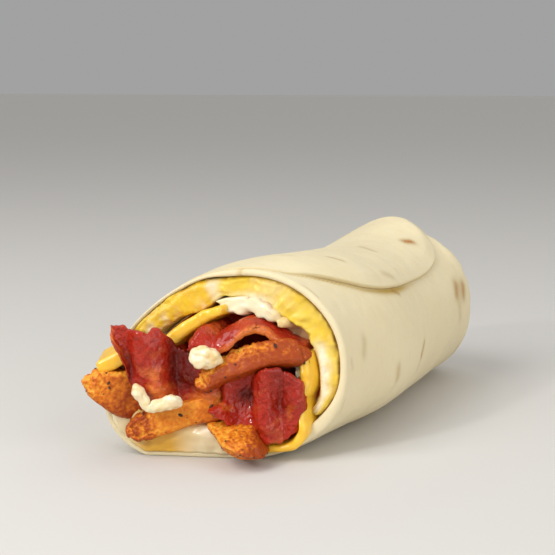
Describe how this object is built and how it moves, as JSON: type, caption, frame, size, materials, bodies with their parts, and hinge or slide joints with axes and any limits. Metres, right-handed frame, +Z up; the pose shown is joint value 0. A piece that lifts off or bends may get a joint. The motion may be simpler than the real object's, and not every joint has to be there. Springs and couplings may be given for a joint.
{
  "type": "burrito",
  "caption": "Rolled breakfast burrito with an open, overfull end that shows a folded egg sheet, bacon, potato, cheese and white sauce; the other end is tucked in.",
  "frame": {"origin": "on the small flat spot under the roll on which it rests, halfway along the roll and between its sides", "axes": "+Y from the open mouth to the tucked end, along the roll; +Z up; +X to the side that the flap's edge hangs over"},
  "size_m": [0.079, 0.1803, 0.0633],
  "materials": {
    "tortilla": "soft steamed flour tortilla, matte cream with a few toasted spots",
    "egg": "cooked egg sheet, moist yellow with whitish parts",
    "cheese": "half-melted orange-yellow cheese, softly glossy",
    "bacon": "cooked streaky bacon, wet dark red with orange fat",
    "potato": "seasoned fried potato, golden orange crust with pepper specks",
    "sauce": "thick white cheese sauce, glossy pale cream"
  },
  "bodies": {
    "root": {"tortilla": "tortilla", "potato_left": "potato", "potato_top": "potato", "potato_front": "potato", "potato_bottom": "potato", "bacon_right": "bacon", "bacon_top": "bacon", "bacon_left": "bacon", "cheese_corner": "cheese", "cheese_left": "cheese", "cheese_right": "cheese", "sauce_lump": "sauce", "sauce_drip": "sauce", "egg": "egg", "sauce": "sauce"}
  },
  "joints": []
}
